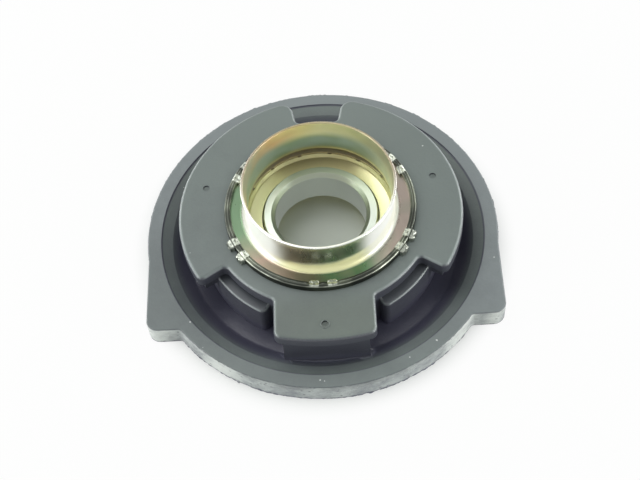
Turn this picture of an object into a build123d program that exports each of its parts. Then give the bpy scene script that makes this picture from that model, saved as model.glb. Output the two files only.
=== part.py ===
from build123d import *
import math
import os

# Centre support bearing of a two-piece driveshaft.
#
# A shielded deep-groove ball bearing sits in a stamped steel cup. The cup is bonded into a
# moulded rubber cushion: a hub with three stopper pads, a thin corrugated web, and an outer
# ring with two ears that the vehicle's bracket clamps. A tall plated collar is crimped over the
# bearing on one side, and a short collar is trapped under it on the other.
#
# Frame: origin at the middle of the bearing bore, +Z along the bore towards the tall collar,
# -Y towards the small front pad, +X towards the right-hand ear. Millimetres.

os.makedirs("parts", exist_ok=True)

# Bearing: 30 mm bore, 55 mm outside, 13 mm wide
BORE_R = 15.0
BEARING_R = 27.5
BEARING_W = 13.0
BORE_CHAMFER = 1.3
SHOULDER_W = 2.15
INNER_FACE_STEP = 0.6
RACE_CORNER = 1.0
BALL_COUNT = 11
BALL_R = 3.572
GROOVE_EASE = 0.108
BALL_CLEARANCE = 0.02

# Metal shields pressed into the outer race
SHIELD_T = 0.45
SHIELD_WALL = 2.4
SHIELD_LIP_D = 0.25
SHIELD_LIP_W = 0.3
SHIELD_RIM_H = 1.5
SHIELD_DISH_STEP = 0.25
SHIELD_GAP = 0.25
SHIELD_NOTCHES = 15
NOTCH_TURN_DEG = 9.0
NOTCH_W = 1.3
NOTCH_D = 0.8

# Riveted ribbon cage
CAGE_T = 0.6
CAGE_HALF_W = 1.5
POCKET_CLEARANCE = 0.12
RIVET_SHANK_R = 0.65
RIVET_HEAD_R = 1.1
RIVET_HEAD_H = 0.45
RIVET_HEAD_TAPER_DEG = 25

# Stamped cup around the bearing, with its crimped mouth
CUP_T = 1.6
CUP_LIP_W = 3.0
CUP_BEND = 1.28
MOUTH_STEP = 2.2
COLLAR_SEAT_RISE = 2.4
CRIMP_REACH = 1.2
CRIMP_CORNER = 1.1
STAKE_PAIRS = 6
STAKE_SPREAD_DEG = 5.45
STAKE_W = 2.9
STAKE_CORNER = 0.9
STAKE_REACH = 1.2
STAKE_DROP = 0.35
LUG_PAIR_DEG = 60.0
LUG_R = 1.6
LUG_REACH = 1.8

# Tall collar on the +Z side
COLLAR_T = 0.9
COLLAR_STEP = 3.3
COLLAR_H = 14.4
COLLAR_FILLET = 2.0
COLLAR_FLARE = 0.8
COLLAR_FLARE_H = 5.0
FLANGE_CLEARANCE = 0.1

# Short collar on the -Z side
LOWER_COLLAR_T = 0.8
LOWER_COLLAR_STEP = 3.6
LOWER_COLLAR_H = 4.7
LOWER_COLLAR_BEND = 0.6

# Rubber hub
HUB_WALL = 4.9
HUB_LIP = 0.6
HUB_TOP_DROP = 0.1
HUB_WRAP_W = 1.9
HUB_WRAP_T = 2.0
HEAD_T = 4.2
HEAD_EDGE = 1.3
HEAD_NOTCH = 1.6
LEDGE_DROP = 5.8
LEDGE_W = 3.6
LEDGE_EDGE = 0.9
LEDGE_END_DEG = 28.6
LEDGE_END_EDGE = 2.0

# Stopper pads: two wide wings and one narrow block
WING_REACH = 9.7
WING_FRONT_CORNER = 2.4
WING_BACK_CORNER = 4.2
WING_BACK_DEG = 11.0
WING_FRONT_DEG = 57.2
WING_FOOT_TURN_DEG = 3.0
BLOCK_REACH = 11.8
BLOCK_W = 32.0
BLOCK_FRONT_R = 64.0
BLOCK_CORNER = 2.4
PAD_FOOT_INSET = 2.4
WING_FOOT_H = 5.8
DIMPLE_R = 1.1
DIMPLE_DEPTH = 0.5
WING_DIMPLE_OUT = 2.2
WING_DIMPLE_DEG = 16.0
BLOCK_DIMPLE_OUT = 6.0

# Outer ring, ears and web
WING_CLEARANCE = 3.8
SLOPE_W = 3.7
LAND_W = 4.6
RING_H = 8.0
RING_DROP = 12.8
RING_EDGE = 0.6
LAND_STEP = 0.5
SLOPE_DROP = 1.1
WEB_RISE_W = 4.7
GROOVE_DROP = 5.0
GROOVE_CORNER = 1.8
WEB_T = 2.8
RING_UNDERCUT = 1.0
EAR_INSET = 0.6
EAR_L = 26.7
EAR_CORNER = 4.0
EAR_ROOT = 1.5

# Levels along the bore, worked out from the sizes above
HALF_W = BEARING_W / 2
COLLAR_SEAT_Z = HALF_W + COLLAR_SEAT_RISE
CRIMP_Z = COLLAR_SEAT_Z + COLLAR_T
CUP_TOP_Z = CRIMP_Z + CUP_T
LOWER_SEAT_Z = -HALF_W - LOWER_COLLAR_T
CUP_BOTTOM_Z = LOWER_SEAT_Z - CUP_T
HUB_TOP_Z = COLLAR_SEAT_Z - HUB_TOP_DROP
HEAD_BOTTOM_Z = HUB_TOP_Z - HEAD_T
LEDGE_Z = HUB_TOP_Z - LEDGE_DROP
HUB_BOTTOM_Z = CUP_BOTTOM_Z - HUB_WRAP_T
RING_TOP_Z = HUB_TOP_Z - RING_DROP
RING_BOTTOM_Z = RING_TOP_Z - RING_H

# Radii inside the bearing
PITCH_R = (BORE_R + BEARING_R) / 2
GROOVE_R = BALL_R + GROOVE_EASE
INNER_SHOULDER_R = PITCH_R - SHOULDER_W
INNER_FACE_R = INNER_SHOULDER_R - INNER_FACE_STEP
OUTER_LAND_R = PITCH_R + SHOULDER_W
SHIELD_GROOVE_R = BEARING_R - SHIELD_WALL
SHIELD_LIP_R = SHIELD_GROOVE_R - SHIELD_LIP_D
SHIELD_DISH_R = OUTER_LAND_R + SHIELD_DISH_STEP

# Radii round the bearing, each one outside the last
CUP_R = BEARING_R + CUP_T
CUP_LIP_R = BEARING_R - CUP_LIP_W
CUP_MOUTH_R = BEARING_R + MOUTH_STEP
CUP_MOUTH_OUT_R = CUP_MOUTH_R + CUP_T
COLLAR_R = BEARING_R - COLLAR_STEP
LOWER_COLLAR_R = BEARING_R - LOWER_COLLAR_STEP
HUB_WRAP_R = CUP_R - HUB_WRAP_W
HUB_CORE_R = CUP_MOUTH_OUT_R + HUB_WALL
HUB_FLANGE_R = HUB_CORE_R + HUB_LIP
LEDGE_R = HUB_CORE_R + LEDGE_W
WING_R = HUB_FLANGE_R + WING_REACH
BLOCK_FRONT = HUB_FLANGE_R + BLOCK_REACH
SLOPE_R = WING_R + WING_CLEARANCE
GROOVE_OUT_R = SLOPE_R - WEB_RISE_W
LAND_R = SLOPE_R + SLOPE_W
RING_IN_R = LAND_R - RING_UNDERCUT
RING_R = LAND_R + LAND_W
EAR_SIDE_X = RING_R - EAR_INSET
EAR_START_Y = math.sqrt(RING_R**2 - EAR_SIDE_X**2)
EAR_FRONT_Y = EAR_START_Y + EAR_L
FRONT_DEG = -90.0
WING_SWEEP_DEG = 180 - WING_BACK_DEG - WING_FRONT_DEG
BALL_PITCH_DEG = 360 / BALL_COUNT


def polar(radius, degrees):
    return (radius * math.cos(math.radians(degrees)), radius * math.sin(math.radians(degrees)))


# Inner race
with BuildPart() as inner_race:
    with BuildSketch(Plane.XZ):
        with BuildLine():
            Polyline(
                (BORE_R, -HALF_W + BORE_CHAMFER),
                (BORE_R + BORE_CHAMFER, -HALF_W),
                (INNER_FACE_R, -HALF_W),
                (INNER_SHOULDER_R, -HALF_W + SHIELD_RIM_H),
                (INNER_SHOULDER_R, HALF_W - SHIELD_RIM_H),
                (INNER_FACE_R, HALF_W),
                (BORE_R + BORE_CHAMFER, HALF_W),
                (BORE_R, HALF_W - BORE_CHAMFER),
                close=True,
            )
        make_face()
        with Locations((PITCH_R - BALL_R - BALL_CLEARANCE + GROOVE_R, 0)):
            Circle(GROOVE_R, mode=Mode.SUBTRACT)
    revolve(axis=Axis.Z)
inner_race.part.label = "inner_race"
export_step(inner_race.part, "parts/inner_race.step")

# Outer race, counterbored at both ends for the shields
SHIELD_SEAT_Z = HALF_W - SHIELD_LIP_W - SHIELD_RIM_H
with BuildPart() as outer_race:
    with BuildSketch(Plane.XZ):
        with BuildLine():
            Polyline(
                (OUTER_LAND_R, 0),
                (OUTER_LAND_R, SHIELD_SEAT_Z),
                (SHIELD_GROOVE_R, SHIELD_SEAT_Z),
                (SHIELD_GROOVE_R, HALF_W - SHIELD_LIP_W),
                (SHIELD_LIP_R, HALF_W - SHIELD_LIP_W),
                (SHIELD_LIP_R, HALF_W),
                (BEARING_R, HALF_W),
                (BEARING_R, 0),
                close=True,
            )
        make_face()
        mirror(about=Plane.XZ)
        with Locations((PITCH_R + BALL_R + BALL_CLEARANCE - GROOVE_R, 0)):
            Circle(GROOVE_R, mode=Mode.SUBTRACT)
    revolve(axis=Axis.Z)
    rim_edges = outer_race.edges().filter_by(GeomType.CIRCLE)
    fillet(rim_edges.filter_by(lambda e: abs(e.radius - BEARING_R) < 0.01), RACE_CORNER)
outer_race.part.label = "outer_race"
export_step(outer_race.part, "parts/outer_race.step")

# Balls, each a node of its own
for number in range(BALL_COUNT):
    spot = polar(PITCH_R, 90 + number * BALL_PITCH_DEG)
    with BuildPart() as ball:
        with Locations((*spot, 0)):
            Sphere(BALL_R)
    ball.part.label = f"ball_{number + 1}"
    export_step(ball.part, f"parts/ball_{number + 1}.step")

# Cage halves: a flat ribbon with a spherical pocket pressed over each ball
POCKET_R = BALL_R + POCKET_CLEARANCE
with BuildPart() as cage_upper:
    with PolarLocations(PITCH_R, BALL_COUNT, start_angle=90):
        Sphere(POCKET_R + CAGE_T)
    with BuildSketch(Plane.XY):
        Circle(PITCH_R + CAGE_HALF_W)
        Circle(PITCH_R - CAGE_HALF_W, mode=Mode.SUBTRACT)
    extrude(amount=POCKET_R + 2 * CAGE_T, mode=Mode.INTERSECT)
    with BuildSketch(Plane.XY):
        Circle(PITCH_R + CAGE_HALF_W)
        Circle(PITCH_R - CAGE_HALF_W, mode=Mode.SUBTRACT)
    extrude(amount=CAGE_T)
    with PolarLocations(PITCH_R, BALL_COUNT, start_angle=90):
        Sphere(POCKET_R, mode=Mode.SUBTRACT)
    with PolarLocations(PITCH_R, BALL_COUNT, start_angle=90 + BALL_PITCH_DEG / 2):
        Hole(RIVET_SHANK_R)
cage_upper.part.label = "cage_upper"
export_step(cage_upper.part, "parts/cage_upper.step")

with BuildPart() as cage_lower:
    mirror(cage_upper.part, about=Plane.XY)
cage_lower.part.label = "cage_lower"
export_step(cage_lower.part, "parts/cage_lower.step")

# Rivets through the flats of the ribbon
with BuildPart() as cage_rivets:
    with PolarLocations(PITCH_R, BALL_COUNT, start_angle=90 + BALL_PITCH_DEG / 2):
        Cylinder(RIVET_SHANK_R, 2 * CAGE_T)
    for side in (-1, 1):
        with BuildSketch(Plane.XY.offset(side * CAGE_T)):
            with PolarLocations(PITCH_R, BALL_COUNT, start_angle=90 + BALL_PITCH_DEG / 2):
                Circle(RIVET_HEAD_R)
        extrude(amount=side * RIVET_HEAD_H, taper=RIVET_HEAD_TAPER_DEG)
cage_rivets.part.label = "cage_rivets"
export_step(cage_rivets.part, "parts/cage_rivets.step")

# Shields: a dished disc whose turned-up rim is notched and pressed into the outer race
SHIELD_RIM_Z = HALF_W - SHIELD_LIP_W
SHIELD_FLAT_Z = SHIELD_RIM_Z - SHIELD_RIM_H + SHIELD_T
with BuildPart() as upper_shield:
    with BuildSketch(Plane.XZ):
        with BuildLine():
            Polyline(
                (INNER_SHOULDER_R + SHIELD_GAP, SHIELD_FLAT_Z - SHIELD_T),
                (SHIELD_DISH_R + SHIELD_T / 2, SHIELD_FLAT_Z - SHIELD_T),
                (SHIELD_GROOVE_R - SHIELD_T, SHIELD_RIM_Z - SHIELD_T),
                (SHIELD_GROOVE_R, SHIELD_RIM_Z - SHIELD_T),
                (SHIELD_GROOVE_R, SHIELD_RIM_Z),
                (SHIELD_GROOVE_R - 1.5 * SHIELD_T, SHIELD_RIM_Z),
                (SHIELD_DISH_R, SHIELD_FLAT_Z),
                (INNER_SHOULDER_R + SHIELD_GAP, SHIELD_FLAT_Z),
                close=True,
            )
        make_face()
    revolve(axis=Axis.Z)
    with BuildSketch(Plane.XY.offset(SHIELD_RIM_Z)):
        with PolarLocations(SHIELD_GROOVE_R, SHIELD_NOTCHES, start_angle=NOTCH_TURN_DEG):
            Rectangle(2 * NOTCH_D, NOTCH_W)
    extrude(amount=-SHIELD_T, mode=Mode.SUBTRACT)
upper_shield.part.label = "upper_shield"
export_step(upper_shield.part, "parts/upper_shield.step")

with BuildPart() as lower_shield:
    mirror(upper_shield.part, about=Plane.XY)
lower_shield.part.label = "lower_shield"
export_step(lower_shield.part, "parts/lower_shield.step")

# Stamped cup: bottom lip, bearing wall, shoulder under the collar, and the crimped mouth
with BuildPart() as bearing_cup:
    with BuildSketch(Plane.XZ):
        with BuildLine():
            Polyline(
                (CUP_LIP_R, CUP_BOTTOM_Z),
                (CUP_R, CUP_BOTTOM_Z),
                (CUP_R, COLLAR_SEAT_Z - CUP_T),
                (CUP_MOUTH_OUT_R, COLLAR_SEAT_Z - CUP_T),
                (CUP_MOUTH_OUT_R, CUP_TOP_Z),
                (CUP_MOUTH_R - CRIMP_REACH, CUP_TOP_Z),
                (CUP_MOUTH_R - CRIMP_REACH, CRIMP_Z),
                (CUP_MOUTH_R, CRIMP_Z),
                (CUP_MOUTH_R, COLLAR_SEAT_Z),
                (BEARING_R, COLLAR_SEAT_Z),
                (BEARING_R, LOWER_SEAT_Z),
                (CUP_LIP_R, LOWER_SEAT_Z),
                close=True,
            )
        make_face()
        corners = vertices().filter_by(lambda v: abs(v.X - CUP_MOUTH_OUT_R) < 0.01)
        fillet(corners.sort_by(Axis.Y)[-1:], CRIMP_CORNER)
        bends = vertices().filter_by(lambda v: abs(v.X - CUP_R) < 0.01)
        fillet(bends.sort_by(Axis.Y)[:1], CUP_BEND)
    revolve(axis=Axis.Z)
    for pair in range(STAKE_PAIRS):
        away = pair * 360 / STAKE_PAIRS
        for swing in (-STAKE_SPREAD_DEG, STAKE_SPREAD_DEG):
            stake_plane = Plane.XY.offset(CRIMP_Z).rotated((0, 0, FRONT_DEG + away + swing))
            with BuildSketch(stake_plane):
                with Locations((CUP_MOUTH_R - CRIMP_REACH, 0)):
                    RectangleRounded(2 * STAKE_REACH, STAKE_W, STAKE_CORNER)
            extrude(amount=CUP_T - STAKE_DROP)
            if away in (LUG_PAIR_DEG, 360 - LUG_PAIR_DEG):
                with BuildSketch(stake_plane.offset(-COLLAR_T)):
                    with Locations((CUP_MOUTH_OUT_R + LUG_REACH - LUG_R, 0)):
                        Circle(LUG_R)
                    with Locations((CUP_MOUTH_OUT_R - CUP_T / 2, 0)):
                        Rectangle(CUP_T * 0.9, 2 * LUG_R)
                extrude(amount=COLLAR_T + CUP_T - STAKE_DROP)
bearing_cup.part.label = "bearing_cup"
export_step(bearing_cup.part, "parts/bearing_cup.step")

# Tall collar: flange under the crimp, rolled fillet, straight wall and a flared mouth
COLLAR_TOP_Z = COLLAR_SEAT_Z + COLLAR_H
FLANGE_R = CUP_MOUTH_R - FLANGE_CLEARANCE
WALL_IN_R = COLLAR_R - COLLAR_T
FLARE_Z = COLLAR_TOP_Z - COLLAR_FLARE_H
BEND_Z = COLLAR_SEAT_Z + COLLAR_T + COLLAR_FILLET
with BuildPart() as tall_collar:
    with BuildSketch(Plane.XZ):
        with BuildLine():
            Line((FLANGE_R, COLLAR_SEAT_Z), (FLANGE_R, CRIMP_Z))
            Line((FLANGE_R, CRIMP_Z), (COLLAR_R + COLLAR_FILLET, CRIMP_Z))
            RadiusArc((COLLAR_R + COLLAR_FILLET, CRIMP_Z), (COLLAR_R, BEND_Z), COLLAR_FILLET)
            Line((COLLAR_R, BEND_Z), (COLLAR_R, FLARE_Z))
            Spline(
                (COLLAR_R, FLARE_Z),
                (COLLAR_R + COLLAR_FLARE, COLLAR_TOP_Z),
                tangents=((0, 1), (0.35, 1)),
            )
            Line((COLLAR_R + COLLAR_FLARE, COLLAR_TOP_Z), (WALL_IN_R + COLLAR_FLARE, COLLAR_TOP_Z))
            Spline(
                (WALL_IN_R + COLLAR_FLARE, COLLAR_TOP_Z),
                (WALL_IN_R, FLARE_Z),
                tangents=((-0.35, -1), (0, -1)),
            )
            Line((WALL_IN_R, FLARE_Z), (WALL_IN_R, BEND_Z))
            RadiusArc(
                (WALL_IN_R, BEND_Z),
                (COLLAR_R + COLLAR_FILLET, COLLAR_SEAT_Z),
                -(COLLAR_FILLET + COLLAR_T),
            )
            Line((COLLAR_R + COLLAR_FILLET, COLLAR_SEAT_Z), (FLANGE_R, COLLAR_SEAT_Z))
        make_face()
    revolve(axis=Axis.Z)
    fillet(tall_collar.edges().group_by(Axis.Z)[-1], COLLAR_T / 3)
tall_collar.part.label = "tall_collar"
export_step(tall_collar.part, "parts/tall_collar.step")

# Short collar under the bearing, trapped between the outer race and the cup's lip
LOWER_FLANGE_R = BEARING_R - FLANGE_CLEARANCE
LOWER_BEND_R = LOWER_COLLAR_R + LOWER_COLLAR_BEND
LOWER_BEND_Z = LOWER_SEAT_Z - LOWER_COLLAR_BEND
LOWER_IN_R = LOWER_COLLAR_R - LOWER_COLLAR_T
LOWER_END_Z = -HALF_W - LOWER_COLLAR_H
with BuildPart() as short_collar:
    with BuildSketch(Plane.XZ):
        with BuildLine():
            Line((LOWER_FLANGE_R, -HALF_W), (LOWER_FLANGE_R, LOWER_SEAT_Z))
            Line((LOWER_FLANGE_R, LOWER_SEAT_Z), (LOWER_BEND_R, LOWER_SEAT_Z))
            RadiusArc((LOWER_BEND_R, LOWER_SEAT_Z), (LOWER_COLLAR_R, LOWER_BEND_Z), -LOWER_COLLAR_BEND)
            Line((LOWER_COLLAR_R, LOWER_BEND_Z), (LOWER_COLLAR_R, LOWER_END_Z))
            Line((LOWER_COLLAR_R, LOWER_END_Z), (LOWER_IN_R, LOWER_END_Z))
            Line((LOWER_IN_R, LOWER_END_Z), (LOWER_IN_R, LOWER_BEND_Z))
            RadiusArc(
                (LOWER_IN_R, LOWER_BEND_Z),
                (LOWER_BEND_R, -HALF_W),
                LOWER_COLLAR_BEND + LOWER_COLLAR_T,
            )
            Line((LOWER_BEND_R, -HALF_W), (LOWER_FLANGE_R, -HALF_W))
        make_face()
    revolve(axis=Axis.Z)
    fillet(short_collar.edges().group_by(Axis.Z)[0], LOWER_COLLAR_T / 3)
short_collar.part.label = "short_collar"
export_step(short_collar.part, "parts/short_collar.step")

# Rubber cushion, one moulding
GROOVE_Z = RING_TOP_Z - GROOVE_DROP
SLOPE_Z = RING_TOP_Z - LAND_STEP - SLOPE_DROP
WEB_BOTTOM_Z = GROOVE_Z - WEB_T
HUB_INSIDE_R = HUB_CORE_R - WEB_T
MOULD_JOIN = LAND_W / 2
with BuildSketch() as head_plan:
    # Block, its front face slightly bowed
    with Locations((0, -BLOCK_FRONT / 2)):
        Rectangle(BLOCK_W, BLOCK_FRONT)
    with Locations((0, BLOCK_FRONT_R - BLOCK_FRONT)):
        Circle(BLOCK_FRONT_R, mode=Mode.INTERSECT)
    # Wings
    with BuildLine():
        CenterArc((0, 0), WING_R, FRONT_DEG + WING_FRONT_DEG, WING_SWEEP_DEG)
        Polyline(
            polar(WING_R, FRONT_DEG + WING_FRONT_DEG),
            (0, 0),
            polar(WING_R, 90 - WING_BACK_DEG),
        )
    make_face()
    mirror(about=Plane.YZ)
    Circle(HUB_FLANGE_R)
    back_corners = head_plan.vertices().filter_by(
        lambda v: math.hypot(v.X, v.Y) > WING_R - 0.1 and v.Y > 0
    )
    fillet(back_corners, WING_BACK_CORNER)
    front_corners = head_plan.vertices().filter_by(
        lambda v: math.hypot(v.X, v.Y) > WING_R - 0.1 and v.Y < 0 and abs(v.X) > BLOCK_W / 2 + BLOCK_CORNER
    )
    fillet(front_corners, WING_FRONT_CORNER)
    block_corners = head_plan.vertices().filter_by(
        lambda v: v.Y < -HUB_FLANGE_R and abs(v.X) < BLOCK_W / 2 + 0.1
    )
    fillet(block_corners, BLOCK_CORNER)
    notches = head_plan.vertices().filter_by(
        lambda v: abs(math.hypot(v.X, v.Y) - HUB_FLANGE_R) < 0.2
    )
    fillet(notches, HEAD_NOTCH)
    Circle(CUP_MOUTH_OUT_R, mode=Mode.SUBTRACT)

with BuildPart() as rubber_cushion:
    # Hub sleeve and web in one turned section
    with BuildSketch(Plane.XZ):
        with BuildLine():
            Polyline(
                (HUB_WRAP_R, HUB_BOTTOM_Z),
                (HUB_WRAP_R, CUP_BOTTOM_Z),
                (CUP_R, CUP_BOTTOM_Z),
                (CUP_R, COLLAR_SEAT_Z - CUP_T),
                (HUB_CORE_R, COLLAR_SEAT_Z - CUP_T),
                (HUB_CORE_R, GROOVE_Z),
                (GROOVE_OUT_R, GROOVE_Z),
                (SLOPE_R, SLOPE_Z),
                (LAND_R, RING_TOP_Z - LAND_STEP),
                (LAND_R + MOULD_JOIN, RING_TOP_Z - LAND_STEP),
                (LAND_R + MOULD_JOIN, RING_BOTTOM_Z + LAND_STEP),
                (RING_IN_R, RING_BOTTOM_Z + LAND_STEP),
                (SLOPE_R + WEB_T / 2, SLOPE_Z - WEB_T),
                (GROOVE_OUT_R + WEB_T / 2, WEB_BOTTOM_Z),
                (HUB_CORE_R, WEB_BOTTOM_Z),
                (HUB_INSIDE_R, HUB_BOTTOM_Z),
                close=True,
            )
        make_face()
        corners = vertices().filter_by(lambda v: abs(v.X - GROOVE_OUT_R) < 0.01)
        fillet(corners, GROOVE_CORNER)
        crests = vertices().filter_by(lambda v: abs(v.X - SLOPE_R) < 0.01)
        fillet(crests, GROOVE_CORNER / 2)
        under = vertices().filter_by(lambda v: abs(v.X - SLOPE_R - WEB_T / 2) < 0.01)
        fillet(under, GROOVE_CORNER / 2)
    revolve(axis=Axis.Z)

    # Ring and ears, one outline
    with BuildSketch(Plane.XY.offset(RING_TOP_Z)) as ring_outline:
        Circle(RING_R)
        with Locations((0, -(EAR_FRONT_Y + EAR_START_Y) / 2)):
            Rectangle(2 * EAR_SIDE_X, EAR_FRONT_Y - EAR_START_Y)
        ear_corners = ring_outline.vertices().filter_by(
            lambda v: abs(abs(v.X) - EAR_SIDE_X) < 0.01 and v.Y < -EAR_START_Y - EAR_ROOT
        )
        fillet(ear_corners, EAR_CORNER)
        ear_roots = ring_outline.vertices().filter_by(
            lambda v: abs(v.Y + EAR_FRONT_Y) < 0.01 and abs(v.X) < EAR_SIDE_X - EAR_CORNER - EAR_ROOT
        )
        fillet(ear_roots, EAR_ROOT)
        Circle(LAND_R, mode=Mode.SUBTRACT)
    extrude(amount=-RING_H)
    rim = rubber_cushion.edges().filter_by(
        lambda e: math.hypot((e @ 0.5).X, (e @ 0.5).Y) > EAR_SIDE_X - 0.1
        and min(abs((e @ 0.5).Z - RING_TOP_Z), abs((e @ 0.5).Z - RING_BOTTOM_Z)) < 0.01
    )
    fillet(rim, RING_EDGE)

    # Hub ledge, open at the front where the block stands
    with BuildSketch(Plane.XY.offset(LEDGE_Z)) as ledge_shape:
        Circle(LEDGE_R)
        Circle(HUB_INSIDE_R, mode=Mode.SUBTRACT)
        with BuildLine():
            Polyline(
                (0, 0),
                polar(2 * LEDGE_R, FRONT_DEG - LEDGE_END_DEG),
                polar(2 * LEDGE_R, FRONT_DEG + LEDGE_END_DEG),
                close=True,
            )
        make_face(mode=Mode.SUBTRACT)
        ends = ledge_shape.vertices().filter_by(lambda v: math.hypot(v.X, v.Y) > LEDGE_R - 0.1)
        fillet(ends, LEDGE_END_EDGE)
    extrude(amount=WEB_BOTTOM_Z - LEDGE_Z + WEB_T / 2)
    ledge_rim = rubber_cushion.edges().filter_by(
        lambda e: abs((e @ 0.5).Z - LEDGE_Z) < 0.01 and math.hypot((e @ 0.5).X, (e @ 0.5).Y) > HUB_CORE_R + 0.5
    )
    fillet(ledge_rim, LEDGE_EDGE)

    # Head: hub flange and three pads in one plate
    with BuildSketch(Plane.XY.offset(HUB_TOP_Z)):
        add(head_plan.sketch)
    extrude(amount=-HEAD_T)
    head_rim = rubber_cushion.edges().group_by(Axis.Z)[-1].filter_by(
        lambda e: math.hypot((e @ 0.5).X, (e @ 0.5).Y) > CUP_MOUTH_OUT_R + HUB_LIP
    )
    fillet(head_rim, HEAD_EDGE)

    # Foot of the block, narrower than the block, growing out of the web
    FOOT_FRONT = BLOCK_FRONT - PAD_FOOT_INSET
    with BuildSketch(Plane.XY.offset(HEAD_BOTTOM_Z)):
        with Locations((0, -FOOT_FRONT / 2)):
            Rectangle(BLOCK_W - 2 * PAD_FOOT_INSET, FOOT_FRONT)
        Circle(HUB_INSIDE_R, mode=Mode.SUBTRACT)
    extrude(amount=WEB_BOTTOM_Z - HEAD_BOTTOM_Z + WEB_T / 2)

    # Feet of the wings, which hang over the web's trough
    with BuildSketch(Plane.XY.offset(HEAD_BOTTOM_Z)):
        Circle(WING_R - PAD_FOOT_INSET)
        with BuildLine():
            Polyline(
                (0, 0),
                polar(2 * WING_R, 90 - WING_BACK_DEG - WING_FOOT_TURN_DEG),
                polar(3 * WING_R, 30),
                polar(3 * WING_R, 0),
                polar(2 * WING_R, FRONT_DEG + WING_FRONT_DEG + WING_FOOT_TURN_DEG),
                close=True,
            )
        make_face(mode=Mode.INTERSECT)
        mirror(about=Plane.YZ)
        Circle(HUB_INSIDE_R, mode=Mode.SUBTRACT)
    extrude(amount=-WING_FOOT_H)

    # Mould marks
    with BuildSketch(Plane.XY.offset(HUB_TOP_Z)):
        with Locations(
            polar(HUB_FLANGE_R + WING_DIMPLE_OUT, WING_DIMPLE_DEG),
            polar(HUB_FLANGE_R + WING_DIMPLE_OUT, 180 - WING_DIMPLE_DEG),
            (0, -HUB_FLANGE_R - BLOCK_DIMPLE_OUT),
        ):
            Circle(DIMPLE_R)
    extrude(amount=-DIMPLE_DEPTH, mode=Mode.SUBTRACT)
rubber_cushion.part.label = "rubber_cushion"
export_step(rubber_cushion.part, "parts/rubber_cushion.step")
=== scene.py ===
import logging
import math
from dataclasses import dataclass, field
from enum import Enum
from functools import reduce
from typing import Any, Iterable

import bmesh
import bpy
from mathutils import Matrix, Vector, noise


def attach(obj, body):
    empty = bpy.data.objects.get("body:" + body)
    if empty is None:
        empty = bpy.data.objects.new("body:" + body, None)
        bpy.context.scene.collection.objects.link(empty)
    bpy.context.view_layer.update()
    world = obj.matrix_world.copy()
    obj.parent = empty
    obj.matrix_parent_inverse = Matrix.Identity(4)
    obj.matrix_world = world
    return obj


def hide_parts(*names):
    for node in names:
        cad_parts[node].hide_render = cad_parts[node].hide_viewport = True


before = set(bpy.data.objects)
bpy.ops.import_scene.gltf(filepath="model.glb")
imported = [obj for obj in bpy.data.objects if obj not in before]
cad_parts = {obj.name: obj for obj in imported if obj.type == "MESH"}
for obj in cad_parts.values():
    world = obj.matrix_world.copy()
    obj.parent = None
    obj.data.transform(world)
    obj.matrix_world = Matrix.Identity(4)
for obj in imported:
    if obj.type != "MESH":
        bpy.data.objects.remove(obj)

log = logging.getLogger("centre_bearing")

MM = 0.001
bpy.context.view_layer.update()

FULL_TURN = 360.0
SHARP_DEG = 38.0  # Edges bent by more than this shade as sharp.
EVEN_WEIGHT = 90  # How far large faces lead the shading of small ones.
ROUNDING_STEPS = 5  # Facets in a rounded corner of a turned section.
SEAM_GAP = 0.001  # Points of a turned mesh closer than this are one, in millimetres.
NODE_GAP = 0.0005  # The same for the triangles of a CAD node.

Triple = tuple[float, float, float]
Colour = Triple
Hues = tuple[tuple[float, Colour], ...]
Span = tuple[float, float]
Band = tuple[float, float, float, float]
Profile = list[Triple]


class Body(Enum):
    """Body of the frame that the new pieces ride on."""

    CUSHION = "cushion"


class Ray(Enum):
    """Kinds of ray that the floor and the world answer differently."""

    CAMERA = "Is Camera Ray"
    GLOSSY = "Is Glossy Ray"
    DIFFUSE = "Is Diffuse Ray"


class Sock:
    """One shader value, so that shader maths reads as an expression."""

    def __init__(self, graph: "Graph", socket: Any) -> None:
        """Keeps the graph and the socket, or a plain number."""
        self.graph = graph
        self.socket = socket

    def _math(self, operation: str, *others: Any) -> "Sock":
        """Adds a Math node on this value and the others."""
        values = {i: v for i, v in enumerate((self, *others))}
        return self.graph.node("ShaderNodeMath", {"operation": operation}, values)

    def __add__(self, other: Any) -> "Sock":
        """Sum."""
        return self._math("ADD", other)

    __radd__ = __add__

    def __sub__(self, other: Any) -> "Sock":
        """Difference."""
        return self._math("SUBTRACT", other)

    def __rsub__(self, other: Any) -> "Sock":
        """Difference, number first."""
        return Sock(self.graph, other)._math("SUBTRACT", self)

    def __mul__(self, other: Any) -> "Sock":
        """Product."""
        return self._math("MULTIPLY", other)

    def __truediv__(self, other: Any) -> "Sock":
        """Quotient."""
        return self._math("DIVIDE", other)

    def __abs__(self) -> "Sock":
        """Size without sign."""
        return self._math("ABSOLUTE")

    def least(self, other: Any) -> "Sock":
        """Smaller of two values."""
        return self._math("MINIMUM", other)

    def most(self, other: Any) -> "Sock":
        """Larger of two values."""
        return self._math("MAXIMUM", other)

    def power(self, other: Any) -> "Sock":
        """This value raised to a power."""
        return self._math("POWER", other)

    def step(self, low: float, high: float) -> "Sock":
        """Smooth rise from 0 at low to 1 at high, or a fall where low is the larger.

        Args:
            low: Value that gives 0.
            high: Value that gives 1.

        Returns:
            A value from 0 to 1.
        """
        ends = (low, high, 0.0, 1.0) if low < high else (high, low, 1.0, 0.0)
        names = ("From Min", "From Max", "To Min", "To Max")
        return self.graph.node(
            "ShaderNodeMapRange",
            {"interpolation_type": "SMOOTHSTEP"},
            {"Value": self, **dict(zip(names, ends))},
        )

    def band(self, start: float, full: float, fade: float, end: float) -> "Sock":
        """Smooth rise from 0 at start to 1 at full, then a fall from fade to 0 at end."""
        return self.step(start, full) * self.step(end, fade)


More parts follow.
